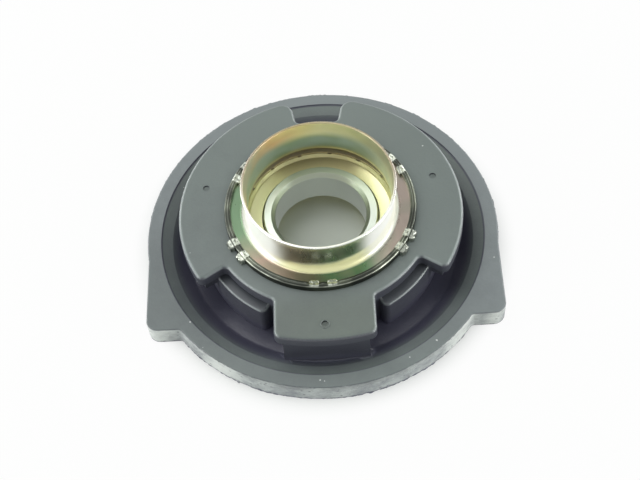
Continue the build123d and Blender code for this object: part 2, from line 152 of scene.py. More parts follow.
def largest(values: Iterable[Sock]) -> Sock:
    """Largest of one value or more."""
    return reduce(Sock.most, values)


class Graph:
    """Node tree of one material or of the world."""

    def __init__(self, tree: Any) -> None:
        """Empties the tree and keeps it."""
        self.tree = tree
        tree.nodes.clear()

    def node(
        self, kind: str, settings: dict[str, Any], inputs: dict[Any, Any], out: Any = 0
    ) -> Sock:
        """Adds any node.

        Args:
            kind: The node's type name.
            settings: Attributes set first; "stops" holds a ramp's colour stops.
            inputs: Values or Socks by socket name or number.
            out: Name or number of the output that is returned.

        Returns:
            The chosen output.
        """
        made = self.tree.nodes.new(kind)
        for key, value in settings.items():
            if key == "stops":
                self._ramp(made.color_ramp, value)
            else:
                setattr(made, key, value)
        for key, value in inputs.items():
            target = made.inputs[key]
            plain = value.socket if isinstance(value, Sock) else value
            if hasattr(plain, "node"):
                self.tree.links.new(plain, target)
            else:
                target.default_value = (*plain, 1.0) if target.type == "RGBA" else plain
        return Sock(self, made.outputs[out])

    def _ramp(self, ramp: Any, stops: Hues) -> None:
        """Writes the stops of a colour ramp.

        Args:
            ramp: The ramp.
            stops: Places from 0 to 1 and their colours.
        """
        while len(ramp.elements) > 1:
            ramp.elements.remove(ramp.elements[-1])
        ramp.elements[0].position = stops[0][0]
        ramp.elements[0].color = (*stops[0][1], 1.0)
        for place, colour in stops[1:]:
            ramp.elements.new(place).color = (*colour, 1.0)

    def facing(self) -> tuple[Sock, Sock, Sock]:
        """X, Y and Z of the surface normal."""
        return self.split(self.node("ShaderNodeNewGeometry", {}, {}, "Normal"))

    def ray(self, kind: Ray) -> Sock:
        """1 for rays of the given kind, 0 for others."""
        return self.node("ShaderNodeLightPath", {}, {}, kind.value)

    def split(self, vector: Sock) -> tuple[Sock, Sock, Sock]:
        """X, Y and Z of a vector."""
        outs = self.node("ShaderNodeSeparateXYZ", {}, {0: vector}).socket.node.outputs
        return Sock(self, outs[0]), Sock(self, outs[1]), Sock(self, outs[2])

    def join(self, x: Any, y: Any, z: Any) -> Sock:
        """Vector of three values."""
        return self.node("ShaderNodeCombineXYZ", {}, {0: x, 1: y, 2: z})

    def length(self, x: Sock, y: Sock) -> Sock:
        """Length of a flat vector."""
        return (x * x + y * y).power(0.5)

    def noise(
        self, at: Sock, size: float, detail: float = 4.0, rough: float = 0.55, warp: float = 0.0
    ) -> Sock:
        """Noise value.

        Args:
            at: Position in millimetres.
            size: Size of the pattern in millimetres.
            detail: Octaves.
            rough: Strength of the finer octaves.
            warp: Distortion.

        Returns:
            A value round 0.5.
        """
        inputs = {"Vector": at, "Scale": 1 / size, "Detail": detail, "Roughness": rough}
        return self.node("ShaderNodeTexNoise", {}, {**inputs, "Distortion": warp}, "Fac")

    def cells(self, at: Sock, size: float) -> Sock:
        """Distance to the nearest of many scattered points, in cell sizes."""
        return self.node("ShaderNodeTexVoronoi", {}, {"Vector": at, "Scale": 1 / size}, "Distance")

    def mix(self, share: Any, first: Any, second: Any) -> Sock:
        """Colour between two colours.

        Args:
            share: 0 gives the first, 1 the second.
            first: Colour as a tuple or a Sock.
            second: Colour as a tuple or a Sock.

        Returns:
            The mixed colour.
        """
        ends = {0: share, 6: first, 7: second}
        return self.node("ShaderNodeMix", {"data_type": "RGBA"}, ends, 2)

    def bump(self, height: Sock, depth: float, under: Sock | None = None) -> Sock:
        """Normal bent by a height.

        Args:
            height: Height, 0 to 1.
            depth: Real depth of 0 to 1 in millimetres.
            under: A normal to build on.

        Returns:
            The normal.
        """
        inputs: dict[Any, Any] = {"Strength": 1.0, "Distance": depth * MM, "Height": height}
        if under is not None:
            inputs["Normal"] = under
        return self.node("ShaderNodeBump", {}, inputs)

    def surface(self, **inputs: Any) -> Sock:
        """Principled shader with the given sockets, underscores for spaces."""
        named = {key.replace("_", " "): value for key, value in inputs.items()}
        return self.node("ShaderNodeBsdfPrincipled", {}, named)

    def glow(self, kind: str, colour: Colour, strength: Any = 1.0) -> Sock:
        """Emission or background shader of the given colour and strength."""
        return self.node(kind, {}, {"Color": colour, "Strength": strength})

    def blend(self, share: Sock, first: Sock, second: Sock) -> Sock:
        """Shader between two shaders, the first at 0 and the second at 1."""
        return self.node("ShaderNodeMixShader", {}, {0: share, 1: first, 2: second})

    def finish(self, shader: Sock, kind: str = "ShaderNodeOutputMaterial") -> None:
        """Ends the tree in an output."""
        made = self.tree.nodes.new(kind)
        self.tree.links.new(shader.socket, made.inputs["Surface"])


class Skin(Graph):
    """Node tree of a material, with the place of the shaded point in millimetres."""

    def __init__(self, tree: Any) -> None:
        """Adds the place, its three parts and its distance from the bore's axis.

        Args:
            tree: The material's tree, emptied first.
        """
        super().__init__(tree)
        metres = self.node("ShaderNodeTexCoord", {}, {}, "Object")
        scale = {0: metres, "Scale": 1 / MM}
        self.at = self.node("ShaderNodeVectorMath", {"operation": "SCALE"}, scale)
        self.x, self.y, self.z = self.split(self.at)
        self.radius = self.length(self.x, self.y)

    def scaled(self, along: float, across: float = 1.0) -> Sock:
        """Place scaled along the bore's axis and across it, for a pattern drawn out one way."""
        return self.join(self.x * across, self.y * across, self.z * along)


def new_material(name: str, base: Colour) -> tuple[Any, Skin]:
    """Empty material.

    Args:
        name: Its name.
        base: Colour for plain viewers.

    Returns:
        The material and its graph.
    """
    material = bpy.data.materials.new(name)
    material.use_nodes = True
    material.diffuse_color = (*base, 1.0)
    return material, Skin(material.node_tree)


# In the finishes a Span is where a share goes from 0 to 1, and a Band is where it rises and where
# it falls. They are in millimetres, but for tilts (of the surface normal) and values of noise.


@dataclass(frozen=True)
class MouldedRubber:
    """Dusty black rubber: dull tops, dark hollows, a pale scraped rim wall and pale spots, with
    painted light: fill light in the hollows, light on the far tops and on the wall's front,
    highlights on rounded edges, and a shade line at the ring's step.
    """

    # The groove's black rubber, lifted and tinted blue as painted fill light; the next colour
    # lifts it further before the front block, also as painted fill light.
    hollow_with_fill: Colour = (0.060, 0.060, 0.088)
    front_fill: Colour = (0.105, 0.112, 0.145)
    side: Colour = (0.053, 0.056, 0.070)
    pad_bloom: Colour = (0.160, 0.190, 0.178)
    ring_bloom: Colour = (0.215, 0.243, 0.243)
    block_bloom: Colour = (0.125, 0.150, 0.125)
    # Colour of the painted highlight on the rounded edges.
    brightened: Colour = (0.34, 0.39, 0.37)
    # Pale colour of the scraped rim wall, lighter towards the front as painted light.
    chalk_and_light: Colour = (0.52, 0.56, 0.54)
    speck: Colour = (0.78, 0.80, 0.76)
    above_groove_z: Span = (-7.8, -4.2)
    ring_r: Span = (53.5, 54.2)
    ring_z: Span = (-3.0, -4.0)
    block_y: Span = (-28.0, -40.0)
    block_z: Span = (-4.0, 8.8)
    front: Span = (-2.0, -46.0)
    far: Span = (-20.0, 55.0)
    left: Span = (-40.0, -62.0)
    deep_front_y: Span = (-38.0, -52.0)
    ledge_z: Band = (-3.0, 0.5, 4.0, 6.5)
    ledge_r: Span = (48.0, 46.0)
    step_line_r: Band = (53.45, 53.8, 54.0, 54.3)
    step_line_z: Span = (0.8, -3.4)
    top_tilt: Span = (0.5, 0.97)
    edge_tilt: Band = (0.22, 0.5, 0.86, 0.985)
    edge_z: Span = (1.2, 2.2)
    sideways_tilt: Span = (0.05, 0.45)
    wall_tilt: Span = (0.2, 0.75)
    wall_r: Span = (57.0, 57.9)
    foot_z: Span = (-11.5, -10.8)
    hidden_y: Span = (-30.0, 4.0)
    worn_noise: Span = (0.40, 0.86)
    pit_size: float = 2.3
    pit_span: Span = (0.26, 0.1)
    pit_noise: Span = (0.42, 0.6)
    mote_spacing: float = 7.5
    mote_span: Span = (0.03, 0.015)
    mote_noise: Span = (0.5, 0.62)
    skin_depth: float = 0.035
    swell_depth: float = 0.12
    scrape_depth: float = 0.4
    white_patch_places: tuple[Span, ...] = ((-54.0, 8.0), (-34.0, 9.0), (43.0, 9.0), (54.0, 5.0))
    # Places and sizes of pale spots; the one at (-43.7, -32.5) is a painted glint.
    specks_and_glint: tuple[Triple, ...] = (
        (-42.4, -14.4, 0.28), (35.1, 23.2, 0.32), (-2.6, -55.8, 0.30), (-1.2, -56.2, 0.26),
        (25.8, -49.4, 0.30), (34.7, -43.9, 0.34), (55.9, -14.2, 0.36), (-43.7, -32.5, 0.28),
    )

    def build(self) -> Any:
        """Makes the rubber's material.

        Returns:
            The material.
        """
        material, g = new_material("moulded_rubber", self.pad_bloom)
        nx, _, up = g.facing()
        cloud = g.noise(g.at, 24.0, 5.0, 0.6)
        mottle = g.noise(g.at, 5.0, 5.0, 0.65)
        fine = g.noise(g.at, 0.9, 6.0, 0.7)
        scrape = g.noise(g.scaled(1.5), 2.1, 6.0, 0.7, 0.6)
        tops = up.step(*self.top_tilt)
        high = g.z.step(*self.above_groove_z)
        edge = up.band(*self.edge_tilt) * g.z.step(*self.edge_z)
        wall = (1 - up.step(*self.wall_tilt)) * g.radius.step(*self.wall_r)
        # Pale bloom on the tops, with painted light at the far side.
        dust_and_light = (tops * high * self._dust_and_light(g, cloud, mottle, fine)).least(1.0)
        # Groove colour: painted fill light, stronger before the front block.
        deep = g.mix(g.y.step(*self.deep_front_y), self.hollow_with_fill, self.front_fill)
        colour = g.mix(high, deep, self.side)
        colour = g.mix(dust_and_light, colour, self._bloom(g))
        # Painted shade: a dark line in the step at the ring's inner edge.
        step_line = g.radius.band(*self.step_line_r) * g.z.step(*self.step_line_z)
        colour = g.mix(step_line * 0.7, colour, self.hollow_with_fill)
        # Painted highlight along the rounded edges, strongest where they face left or right.
        shine = (0.10 + abs(nx).step(*self.sideways_tilt) * 0.42) * (0.1 + cloud * 1.3)
        colour = g.mix(edge * shine, colour, self.brightened)
        colour = self._scraped(g, colour, wall, scrape)
        colour = g.mix(self._motes(g, tops, fine) * 0.75, colour, self.speck)
        rough = 0.28 + fine * 0.14 + dust_and_light * 0.2 + wall * 0.15 - edge * 0.08
        skin = g.bump(fine, self.skin_depth)
        swell = g.bump(mottle, self.swell_depth, skin)
        ragged = g.bump(scrape * wall, self.scrape_depth, swell)
        g.finish(
            g.surface(Base_Color=colour, Roughness=rough, Normal=ragged, Specular_IOR_Level=0.5)
        )
        return material

    def _dust_and_light(self, g: Skin, cloud: Sock, mottle: Sock, fine: Sock) -> Sock:
        """Share of bloom by place: more at the far side, as painted light, and less at the left
        and on the ledge.

        Args:
            g: The material's graph.
            cloud: Broad noise.
            mottle: Middle noise.
            fine: Fine noise.

        Returns:
            The share, which can pass 1.
        """
        far = (g.x * 0.35 + g.y).step(*self.far)
        left = (g.x + g.y * 0.6).step(*self.left)
        ledge = g.z.band(*self.ledge_z) * g.radius.step(*self.ledge_r)
        patchy = 0.46 + cloud * 0.55 + mottle * 0.30 + far * 0.25 - left * 0.16
        return patchy * (1 - ledge * 0.8) * (0.86 + fine * 0.28)

    def _bloom(self, g: Skin) -> Sock:
        """Colour of the bloom: that of the pads, of the ring or of the front block.

        Args:
            g: The material's graph.

        Returns:
            The colour.
        """
        on_ring = g.radius.step(*self.ring_r) * g.z.step(*self.ring_z)
        front = (g.y + g.x * 0.35).step(*self.front)
        bloom = g.mix(on_ring * (1 - front * 0.8), self.pad_bloom, self.ring_bloom)
        on_block = g.y.step(*self.block_y) * g.z.step(*self.block_z)
        return g.mix(on_block * 0.7, bloom, self.block_bloom)

    def _scraped(self, g: Skin, colour: Sock, wall: Sock, scrape: Sock) -> Sock:
        """Lays a pale colour, white patches and dark pits over the rim's wall, less at the back;
        the pale colour is scraped rubber, lighter at the front as painted light.

        Args:
            g: The material's graph.
            colour: Colour below the marks.
            wall: Share of the rim's wall.
            scrape: Noise of the scraping.

        Returns:
            The colour with the marks.
        """
        broad = g.noise(g.scaled(1.8), 8.0, 4.0, 0.6)
        # Less of the pale colour at the back, away from the painted front light.
        hidden = (g.y + scrape * 8.0).step(*self.hidden_y)
        white = largest(
            g.x.band(place - width, place, place, place + width)
            for place, width in self.white_patch_places
        )
        worn = (scrape * 0.45 + broad * 0.75 + white * 0.22).step(*self.worn_noise)
        chalk_and_light_share = wall * (g.z + (scrape - 0.5) * 2.4).step(*self.foot_z)
        colour = g.mix(chalk_and_light_share * (0.3 + worn * 0.62) * (1 - hidden * 0.72), colour, self.chalk_and_light)
        colour = g.mix(chalk_and_light_share * white * worn * (1 - hidden) * 0.5, colour, self.speck)
        cells = g.cells(g.at, self.pit_size)
        pits = wall * cells.step(*self.pit_span) * broad.step(*self.pit_noise)
        return g.mix(pits * 0.6, colour, self.side)

    def _motes(self, g: Skin, tops: Sock, fine: Sock) -> Sock:
        """Share of pale spots: scattered small ones, and larger ones at their own places, one of
        them a painted glint.

        Args:
            g: The material's graph.
            tops: Share of faces that look up.
            fine: Noise that makes the specks ragged.

        Returns:
            The share.
        """
        cells = g.cells(g.at, self.mote_spacing).step(*self.mote_span)
        scattered = cells * g.noise(g.at, 30.0, 1.0).step(*self.mote_noise)
        placed = (
            (g.length(g.x - x, g.y - y) + (fine - 0.5) * 1.1).step(size, size * 0.3)
            for x, y, size in self.specks_and_glint
        )
        return largest((scattered, *placed)) * tops


@dataclass(frozen=True)
class YellowZinc:
    """Yellow chromate over zinc on pressed steel, its thin film's hues set by height and side,
    with painted light: a whitened outer wall, a darker front, highlights at the wall's foot, the
    rim and the flare, and shade on the flange and inside at the right.
    """

    # Zinc whitened as painted light, on the outer wall and at the rim's front.
    silver_and_light: Colour = (0.97, 0.98, 0.93)
    gold: Colour = (0.62, 0.55, 0.24)
    # Painted highlight on the bend at the outer wall's foot.
    lemon_highlight: Colour = (0.99, 0.96, 0.55)
    green: Colour = (0.33, 0.45, 0.27)
    teal: Colour = (0.44, 0.56, 0.45)
    # Painted shade: on the outer wall's front and on the right of the inner wall.
    olive_shade: Colour = (0.26, 0.26, 0.17)
    bronze: Colour = (0.30, 0.23, 0.15)
    # Film hues of the flared mouth, their brightest yellows a painted highlight.
    flare_hues_and_highlight: Hues = (
        (0.02, (0.62, 0.60, 0.42)), (0.20, (0.90, 0.60, 0.28)), (0.40, (1.00, 0.86, 0.38)),
        (0.55, (1.00, 0.95, 0.52)), (0.75, (0.80, 0.80, 0.40)), (0.97, (0.52, 0.52, 0.34)),
    )
    # Film hues of the flange, darkened as painted shade.
    flange_hues_and_shade: Hues = (
        (0.02, (0.15, 0.23, 0.14)), (0.18, (0.32, 0.24, 0.19)), (0.34, (0.24, 0.21, 0.15)),
        (0.50, (0.17, 0.17, 0.11)), (0.66, (0.14, 0.25, 0.14)), (0.84, (0.30, 0.30, 0.24)),
        (0.97, (0.40, 0.33, 0.29)),
    )
    outward_tilt: Span = (-0.1, 0.1)
    right_x: Span = (-2.0, 20.0)
    front_side: Span = (-0.74, -0.94)
    back_side: Span = (0.3, 0.75)
    plated_noise: Span = (0.38, 0.62)
    inner_noise: Span = (0.36, 0.66)
    flare_z: Span = (17.6, 22.0)
    shaded_x: Span = (10.0, 24.0)
    seat_z: Span = (13.6, 11.6)
    bend_z: Span = (15.3, 12.9)
    flange_r: Span = (25.1, 25.9)
    flange_z: Span = (11.6, 10.6)
    rim_z: Span = (23.0, 23.18)
    rim_front_y: Span = (6.0, -14.0)
    standing_z: Span = (9.8, 10.8)
    drawn_depth: float = 0.006
    peel_depth: float = 0.05

    def build(self) -> Any:
        """Makes the plating's material.

        Returns:
            The material.
        """
        material, g = new_material("yellow_zinc", self.gold)
        nx, ny, _ = g.facing()
        outward = ((nx * g.x + ny * g.y) / g.radius).step(*self.outward_tilt)
        film = g.noise(g.scaled(2.2), 14.0, 1.5, 0.4, 0.5)
        streak = g.noise(g.scaled(0.6, 2.0), 4.0, 2.0, 0.5)
        around = g.y / g.radius
        front = (around + (film - 0.5) * 0.1).step(*self.front_side)
        back = (around + (film - 0.5) * 0.2).step(*self.back_side)
        bend = (g.z - g.x * 0.1 + film * 2.0).step(*self.bend_z)
        rim = g.z.step(*self.rim_z)
        plated = g.mix(film.step(*self.plated_noise), self.gold, self.green)
        # Outer wall whitened as painted light, the film's gold and green at the back.
        outer = g.mix(back * 0.55, self.silver_and_light, plated)
        # Painted shade on the outer wall's front, where it mirrors the dark rubber, in dark film
        # hues, greener to the right.
        front_film_and_shade = g.mix((g.x + film * 14.0).step(*self.right_x), self.olive_shade, self.green)
        outer = g.mix(front * (0.45 + film * 0.5), outer, front_film_and_shade)
        # Painted highlight on the bend at the wall's foot, strongest at the front.
        outer = g.mix(bend * (0.2 + front * 0.75), outer, self.lemon_highlight)
        colour = g.mix(outward, self._inner(g, film), outer)
        # Flange: film hues darkened as painted shade.
        flange = g.radius.step(*self.flange_r) * g.z.step(*self.flange_z)
        colour = g.mix(flange, colour, self._around(g, film, self.flange_hues_and_shade, 0.5))
        # Rim: a painted highlight at the front, bronze film at the back.
        rim_film_and_highlight = g.mix(g.y.step(*self.rim_front_y), self.bronze, self.silver_and_light)
        colour = g.mix(rim * 0.75, colour, rim_film_and_highlight)
        standing = g.z.step(*self.standing_z)
        powdery = (1 - front).most(bend) * outward * standing * (1 - back * 0.75) * (1 - rim)
        rough = 0.22 + streak * 0.12 + powdery * 0.22 + (1 - outward) * 0.05
        metal = 1.0 - powdery * 0.72 - (1 - outward) * 0.32
        drawn = g.bump(g.noise(g.scaled(3.0), 3.0, 2.0, 0.5), self.drawn_depth)
        peel = g.bump(g.noise(g.at, 5.0, 2.0, 0.5), self.peel_depth, drawn)
        g.finish(g.surface(Base_Color=colour, Metallic=metal, Roughness=rough, Normal=peel))
        return material

    def _inner(self, g: Skin, film: Sock) -> Sock:
        """Colour of the walls that face the axis, from the seat up to the flared mouth, with a
        painted highlight in the flare's hues and painted shade at the right.

        Args:
            g: The material's graph.
            film: Noise of the film's thickness.

        Returns:
            The colour.
        """
        inner = g.mix(film.step(*self.inner_noise), self.teal, self.green)
        sweep = self._around(g, film, self.flare_hues_and_highlight, 0.3)
        inner = g.mix((g.z + film * 3.0).step(*self.flare_z) * 0.9, inner, sweep)
        inner = g.mix((g.x + film * 6.0).step(*self.shaded_x) * 0.45, inner, self.olive_shade)
        return g.mix((g.z + film).step(*self.seat_z) * 0.7, inner, self.gold)

    def _around(self, g: Skin, film: Sock, stops: Hues, wander: float) -> Sock:
        """Colour read from a row of colours laid from the left side to the right.

        Args:
            g: The material's graph.
            film: Noise of the film's thickness.
            stops: The row of colours.
            wander: How far the noise moves the place that is read.

        Returns:
            The colour.
        """
        place = g.x / g.radius * 0.5 + 0.5 + (film - 0.5) * wander
        return g.node("ShaderNodeValToRGB", {"stops": stops}, {0: place})


@dataclass(frozen=True)
class StakedZinc:
    """Plated cup mouth: darkened ring, bright where the staking tools struck, and bright edges,
    worn metal with a painted highlight.
    """

    dark: Colour = (0.050, 0.054, 0.046)
    moss: Colour = (0.115, 0.125, 0.095)
    line: Colour = (0.52, 0.55, 0.47)
    # Colour of the edge rings: worn metal and painted highlight.
    struck: Colour = (0.62, 0.65, 0.57)
    spread_deg: float = 5.45
    pair_deg: float = 60.0
    turn_deg: float = 450.0
    mouth_z: Span = (8.4, 9.2)
    struck_deg: Span = (3.1, 2.2)
    struck_r: Span = (31.2, 30.9)
    notch_deg: Span = (0.9, 0.4)
    notch_r: Band = (29.8, 30.3, 30.3, 30.65)
    lug_r: Span = (31.4, 31.65)
    line_noise: Span = (0.36, 0.62)
    moss_noise: Span = (0.4, 0.6)
    struck_noise: Span = (0.3, 0.6)
    skin_depth: float = 0.03
    dent_depth: float = 0.05
    edges: tuple[Triple, ...] = (
        (31.12, 0.16, 1.0), (30.15, 0.13, 0.7), (29.32, 0.16, 0.9),
    )

    def build(self) -> Any:
        """Makes the cup's material.

        Returns:
            The material.
        """
        material, g = new_material("staked_zinc", self.moss)
        coarse = g.noise(g.at, 3.0, 4.0, 0.6)
        fine = g.noise(g.at, 0.8, 5.0, 0.7)
        long = g.noise(g.at, 9.0, 2.0, 0.5)
        mouth = g.z.step(*self.mouth_z)
        bright = self._bright(g, fine, mouth)
        uneven = g.radius + (coarse - 0.5) * 0.35
        broken = mouth * (0.25 + long.step(*self.line_noise) * 0.75)
        # Bright rings at the roll's edges: worn metal and painted highlight.
        lines = largest(
            uneven.step(place - width, place) * g.radius.step(place + width, place) * weight
            for place, width, weight in self.edges
        )
        colour = g.mix(long.step(*self.moss_noise), self.dark, self.moss)
        colour = g.mix(lines * broken, colour, self.line)
        brightened = bright * (0.25 + fine.step(*self.struck_noise) * 0.7)
        colour = g.mix(brightened, colour, self.struck)
        rough = 0.30 + coarse * 0.12 - bright * 0.04
        dents = g.bump(coarse, self.dent_depth, g.bump(fine, self.skin_depth))
        g.finish(g.surface(Base_Color=colour, Metallic=1.0, Roughness=rough, Normal=dents))
        return material

    def _bright(self, g: Skin, fine: Sock, mouth: Sock) -> Sock:
        """Share of struck metal: on each stake but for its notch, and on the lugs.

        Args:
            g: The material's graph.
            fine: Noise that makes the stakes ragged.
            mouth: Share of the cup's mouth.

        Returns:
            The share.
        """
        turn = g.node("ShaderNodeMath", {"operation": "ARCTAN2"}, {0: g.y, 1: g.x})
        degrees = turn * (180 / math.pi) + self.turn_deg
        folds = {0: degrees, 1: self.pair_deg / 2}
        swing = g.node("ShaderNodeMath", {"operation": "PINGPONG"}, folds)
        off = abs(swing - self.spread_deg)
        struck = (off + (fine - 0.5) * 1.2).step(*self.struck_deg) * mouth
        struck = struck * g.radius.step(*self.struck_r)
        notch = off.step(*self.notch_deg) * g.radius.band(*self.notch_r)
        lug = g.radius.step(*self.lug_r) * (0.55 + fine * 0.5)
        return (struck * (1 - notch * 0.8)).most(lug)


@dataclass(frozen=True)
class GroundSteel:
    """Bearing steel, ground round the bore's axis, with painted glints at its left and right and
    its own colour inside the bore.
    """

    name: str = "ground_steel"
    face: Colour = (0.50, 0.54, 0.45)
    shade: Colour = (0.40, 0.43, 0.35)
    # Painted glint where the surface lies at the left and right.
    side_glint: Colour = (0.80, 0.86, 0.76)
    bore: Colour = (0.47, 0.51, 0.46)
    bore_r: float = 0.0
    bore_fade: Span = (0.25, 0.05)
    side_span: Span = (0.45, 0.95)
    roughness: float = 0.26
    line: float = 0.35
    line_depth: float = 0.008
    metal: float = 1.0
    dish_r: Span = (19.3, 23.3)
    dish_side: Span = (0.25, 0.85)
    dish_depth: float = 0.0

    def build(self) -> Any:
        """Makes the ground steel's material.

        Returns:
            The material.
        """
        material, g = new_material(self.name, self.face)
        rings = g.noise(g.join(g.radius, g.z, 0.0), self.line, 4.0, 0.7)
        cloud = g.noise(g.at, 6.0, 4.0, 0.6)
        fade_from, fade_to = self.bore_fade
        inside = g.radius.step(self.bore_r + fade_from, self.bore_r + fade_to)
        across = abs(g.x) / g.radius
        colour = g.mix(cloud * 0.5 + rings * 0.3, self.face, self.shade)
        # Painted glints at the left and right.
        colour = g.mix((across + (cloud - 0.5) * 0.4).step(*self.side_span), colour, self.side_glint)
        colour = g.mix(inside * 0.9, colour, self.bore)
        lathe = g.bump(rings, self.line_depth)
        if self.dish_depth > 0:
            inner_r, outer_r = self.dish_r
            out = ((g.radius - inner_r) / (outer_r - inner_r)).most(0.0).least(1.0)
            lathe = g.bump(out * out * across.step(*self.dish_side), self.dish_depth, lathe)
        rough = self.roughness + cloud * 0.12 + inside * 0.06
        g.finish(g.surface(Base_Color=colour, Metallic=self.metal, Roughness=rough, Normal=lathe))
        return material


GROUND_RACE = GroundSteel(bore_r=15.0)
POLISHED_BALL = GroundSteel("polished_ball", roughness=0.08, line=2.0)
PLATED_FACE = GroundSteel(
    "plated_steel_face", face=(0.88, 0.76, 0.52), shade=(0.70, 0.58, 0.38),
    side_glint=(0.85, 0.82, 0.55), roughness=0.42, metal=0.35,
)
CAGE_SHEET = GroundSteel(
    "cage_sheet", face=(0.55, 0.55, 0.53), shade=(0.4, 0.4, 0.39),
    side_glint=(0.55, 0.55, 0.53), roughness=0.38, line=1.2,
)
SHIELD_SHEET = GroundSteel(
    "shield_sheet", face=(0.80, 0.74, 0.46), shade=(0.62, 0.54, 0.32),
    side_glint=(0.98, 0.97, 0.56), roughness=0.3, line=0.8, metal=0.6, dish_depth=0.65,
)


@dataclass(frozen=True)
class Finishes:
    """Every finish, made once."""

    rubber: Any = field(default_factory=MouldedRubber().build)
    zinc: Any = field(default_factory=YellowZinc().build)
    staked: Any = field(default_factory=StakedZinc().build)
    race: Any = field(default_factory=GROUND_RACE.build)
    ball: Any = field(default_factory=POLISHED_BALL.build)
    outer: Any = field(default_factory=PLATED_FACE.build)
    cage: Any = field(default_factory=CAGE_SHEET.build)
    shield: Any = field(default_factory=SHIELD_SHEET.build)


def new_object(bm: Any, name: str, material: Any) -> Any:
    """Puts a bmesh in millimetres into the scene.

    Args:
        bm: The mesh, freed here.
        name: Name of the object.
        material: Its material.

    Returns:
        The new object.
    """
    bmesh.ops.transform(bm, matrix=Matrix.Scale(MM, 4), verts=bm.verts)
    mesh = bpy.data.meshes.new(name)
    bm.to_mesh(mesh)
    bm.free()
    mesh.materials.append(material)
    made = bpy.data.objects.new(name, mesh)
    bpy.context.scene.collection.objects.link(made)
    return made


def finish_piece(
    bm: Any, name: str, material: Any, body: Body, nodes: Iterable[str] = ()
) -> Any:
    """Turns a bmesh in millimetres into a piece of the object.

    Args:
        bm: The mesh, freed here.
        name: Name of the piece.
        material: Its material.
        body: Body that it rides on.
        nodes: CAD nodes that it stands for, if any.

    Returns:
        The new object.
    """
    bmesh.ops.recalc_face_normals(bm, faces=bm.faces)
    piece = new_object(bm, name, material)
    mesh = piece.data
    mesh.shade_smooth()
    mesh.set_sharp_from_angle(angle=math.radians(SHARP_DEG))
    evened = piece.modifiers.new("even_normals", "WEIGHTED_NORMAL")
    evened.keep_sharp = True
    evened.weight = EVEN_WEIGHT
    if nodes:
        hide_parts(*nodes)
    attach(piece, body.value)
    log.info("%s: %d faces", name, len(mesh.polygons))
    return piece


def section_wire(bm: Any, corners: Profile) -> list[Any]:
    """Closed wire in the XZ plane with rounded corners.

    Args:
        bm: Mesh to add to.
        corners: Radius, height and corner rounding of each corner.

    Returns:
        The wire's edges.
    """
    verts = [bm.verts.new((r, 0.0, z)) for r, z, _ in corners]
    for first, second in zip(verts, verts[1:] + verts[:1]):
        bm.edges.new((first, second))
    for vert, (_, _, rounding) in zip(verts, corners):
        if rounding > 0:
            bmesh.ops.bevel(
                bm, geom=[vert], offset=rounding, offset_type="OFFSET", affect="VERTICES",
                segments=ROUNDING_STEPS, profile=0.5, material=-1,
            )
    return [e for e in bm.edges if not e.link_faces]


def turned(corners: Profile, steps: int, sweep: float = FULL_TURN, start: float = 0.0) -> Any:
    """Solid turned round the Z axis.

    Args:
        corners: Closed section as radius, height and corner rounding.
        steps: Facets round the sweep.
        sweep: Degrees swept.
        start: Degrees at which the sweep starts, where it isn't a full turn.

    Returns:
        The mesh.
    """
    bm = bmesh.new()
    edges = section_wire(bm, corners)
    full = sweep == FULL_TURN
    caps: list[Any] = []
    if not full:
        caps = bmesh.ops.contextual_create(bm, geom=edges)["faces"]
        swing = Matrix.Rotation(math.radians(start), 3, "Z")
        bmesh.ops.rotate(bm, verts=bm.verts, cent=(0, 0, 0), matrix=swing)
    geometry = caps + edges + list(dict.fromkeys(v for e in edges for v in e.verts))
    bmesh.ops.spin(
        bm, geom=geometry, cent=(0, 0, 0), axis=(0, 0, 1), angle=math.radians(sweep), steps=steps,
        use_merge=full, use_normal_flip=False, use_duplicate=False,
    )
    bmesh.ops.remove_doubles(bm, verts=bm.verts, dist=SEAM_GAP)
    bmesh.ops.recalc_face_normals(bm, faces=bm.faces)
    return bm


def absorb(bm: Any, other: Any) -> None:
    """Adds a second mesh to the first and frees it.

    Args:
        bm: Mesh that grows.
        other: Mesh that is added.
    """
    mesh = bpy.data.meshes.new("part")
    other.to_mesh(mesh)
    other.free()
    bm.from_mesh(mesh)
    bpy.data.meshes.remove(mesh)


def merged_node(node: str) -> Any:
    """Mesh of a CAD node in millimetres, its loose triangles merged.

    Args:
        node: Name of the node, which stays as it is.

    Returns:
        The mesh.
    """
    bm = bmesh.new()
    bm.from_mesh(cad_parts[node].data)
    bmesh.ops.transform(bm, matrix=Matrix.Scale(1 / MM, 4), verts=bm.verts)
    bmesh.ops.remove_doubles(bm, verts=bm.verts, dist=NODE_GAP)
    return bm


def polar(radius: float, degrees: float, height: float) -> Vector:
    """Point at a radius, an angle and a height."""
    angle = math.radians(degrees)
    return Vector((radius * math.cos(angle), radius * math.sin(angle), height))


def ramp(value: float, low: float, high: float) -> float:
    """Smooth rise from 0 at low to 1 at high, or a fall where low is the larger."""
    share = min(1.0, max(0.0, (value - low) / (high - low)))
    return share * share * (3 - 2 * share)


def bell(value: float, middle: float, width: float) -> float:
    """1 at the middle, falling to almost 0 two widths away."""
    return math.exp(-(((value - middle) / width) ** 2))


def grain(point: Vector, size: float, seed: float) -> float:
    """Noise from -1 to 1 at a point, for a pattern of the given size in millimetres."""
    return noise.noise(point / size + Vector((seed, -seed, seed)))


